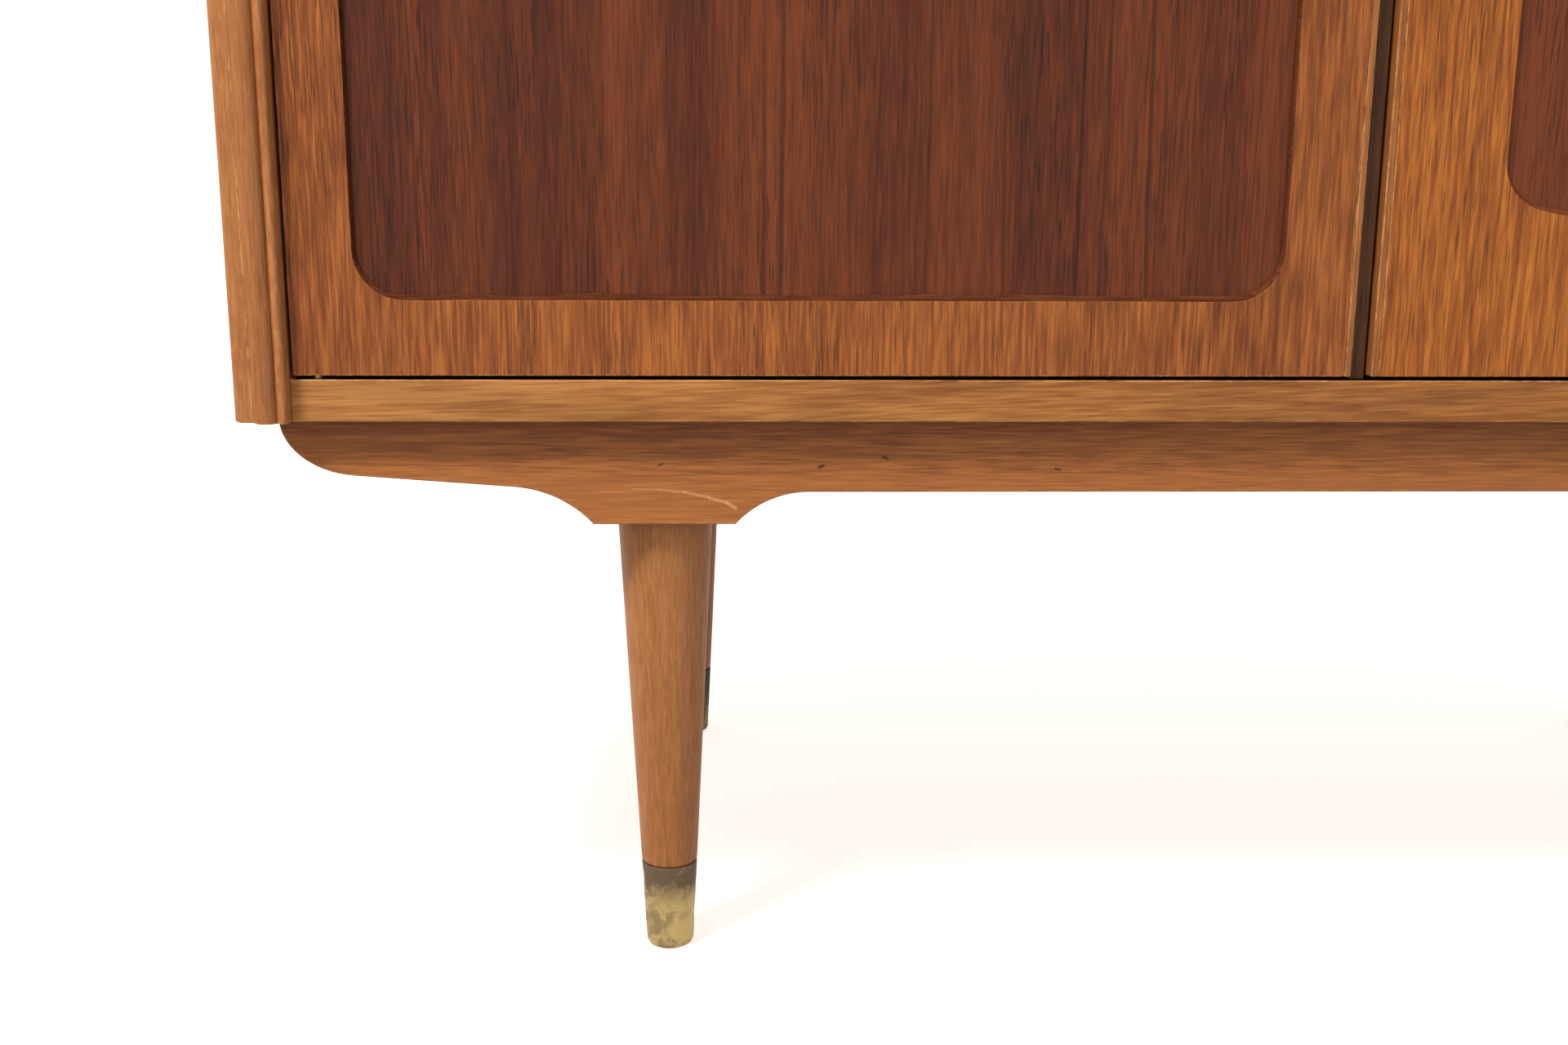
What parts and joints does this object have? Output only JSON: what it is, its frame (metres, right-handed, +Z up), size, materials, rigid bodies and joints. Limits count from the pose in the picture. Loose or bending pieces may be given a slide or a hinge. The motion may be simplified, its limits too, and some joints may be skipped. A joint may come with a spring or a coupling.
{
  "type": "console television cabinet",
  "caption": "Two-door teak console cabinet on a boat-shaped base with tapered, brass-shod legs; a television behind the right door and a shelved bay behind the left.",
  "frame": {"origin": "on the floor, under the middle of the whole object's box", "axes": "+X to the viewer's right along the width, +Y from the doors towards the back, +Z up"},
  "size_m": [1, 0.4236, 0.88],
  "materials": {
    "light_teak": "satin oiled teak veneer",
    "orange_teak": "satin oiled teak veneer, more orange",
    "dark_teak": "dark reddish-brown striped veneer, satin",
    "solid_teak": "solid hardwood, satin stain, worn arrises",
    "inner_wood": "plain matt wood",
    "hardboard": "matt brown hardboard",
    "aged_brass": "dull, tarnished with dark patches",
    "zinc_steel": "zinc plated",
    "screw_steel": "dark steel",
    "chassis_metal": "dull sheet metal",
    "black_metal": "black enamel",
    "grey_metal": "grey enamel",
    "cream_plastic": "cream, slightly yellowed",
    "black_plastic": "black phenolic",
    "coil": "varnished windings",
    "paper_cone": "pressed paper",
    "speaker_cloth": "woven, gold and brown",
    "safety_glass": "clear, faintly grey",
    "tube_glass": "grey-green screen glass with a dark coated funnel",
    "valve_glass": "clear glass with a silver getter"
  },
  "bodies": {
    "cabinet": {"left_side_panel": "light_teak", "right_side_panel": "light_teak", "left_side_moulding": "solid_teak", "right_side_moulding": "solid_teak", "top_panel": "light_teak", "bottom_panel": "inner_wood", "top_front_rail": "solid_teak", "bottom_front_rail": "solid_teak", "centre_partition": "inner_wood", "meeting_strip": "dark_teak", "left_back_panel": "hardboard", "rear_cover": "hardboard", "back_screws": "screw_steel", "front_base_rail": "solid_teak", "rear_base_rail": "solid_teak", "cross_rails": "inner_wood", "leg_blocks": "inner_wood", "base_screws": "screw_steel", "front_left_leg": "solid_teak", "front_right_leg": "solid_teak", "rear_left_leg": "solid_teak", "rear_right_leg": "solid_teak", "front_left_ferrule": "aged_brass", "front_right_ferrule": "aged_brass", "rear_left_ferrule": "aged_brass", "rear_right_ferrule": "aged_brass", "shelf": "inner_wood", "shelf_pins": "aged_brass", "door_catches": "zinc_steel", "hinge_plates": "aged_brass", "screen_baffle": "dark_teak", "screen_mask": "cream_plastic", "safety_glass": "safety_glass", "picture_tube": "tube_glass", "tube_strap": "zinc_steel", "deflection_coil": "coil", "loudspeaker_frame": "grey_metal", "loudspeaker_cone": "paper_cone", "loudspeaker_magnet": "grey_metal", "speaker_cloth": "speaker_cloth", "chassis_tray": "chassis_metal", "mains_transformer": "black_metal", "valves": "valve_glass", "tuner_box": "chassis_metal", "control_pots": "chassis_metal", "aerial_socket": "black_plastic", "mains_inlet": "black_plastic"},
    "left_door": {"left_door_panel": "light_teak", "left_door_inset": "dark_teak", "left_door_lipping": "solid_teak", "left_door_fittings": "aged_brass", "left_door_pull": "aged_brass"},
    "right_door": {"right_door_panel": "orange_teak", "right_door_inset": "dark_teak", "right_door_lipping": "solid_teak", "right_door_fittings": "aged_brass", "right_door_pull": "aged_brass"},
    "channel_knob": {"channel_knob": "cream_plastic"},
    "volume_knob": {"volume_knob": "cream_plastic"},
    "brightness_knob": {"brightness_knob": "cream_plastic"}
  },
  "joints": [
    {"name": "left_door_hinge", "type": "hinge", "parent": "cabinet", "child": "left_door", "pos_m": [-0.4635, -0.18475, 0.575], "axis": [0, 0, 1], "range_deg": [-105, 0]},
    {"name": "right_door_hinge", "type": "hinge", "parent": "cabinet", "child": "right_door", "pos_m": [0.4635, -0.18475, 0.575], "axis": [0, 0, 1], "range_deg": [0, 105]},
    {"name": "volume_knob_turn", "type": "hinge", "parent": "cabinet", "child": "volume_knob", "pos_m": [0.29525, -0.15, 0.401], "axis": [0, 1, 0], "range_deg": [0, 270]},
    {"name": "brightness_knob_turn", "type": "hinge", "parent": "cabinet", "child": "brightness_knob", "pos_m": [0.35025, -0.15, 0.401], "axis": [0, 1, 0], "range_deg": [-135, 135]},
    {"name": "channel_knob_turn", "type": "hinge", "parent": "cabinet", "child": "channel_knob", "pos_m": [0.41025, -0.15, 0.401], "axis": [0, 1, 0], "continuous": true}
  ]
}
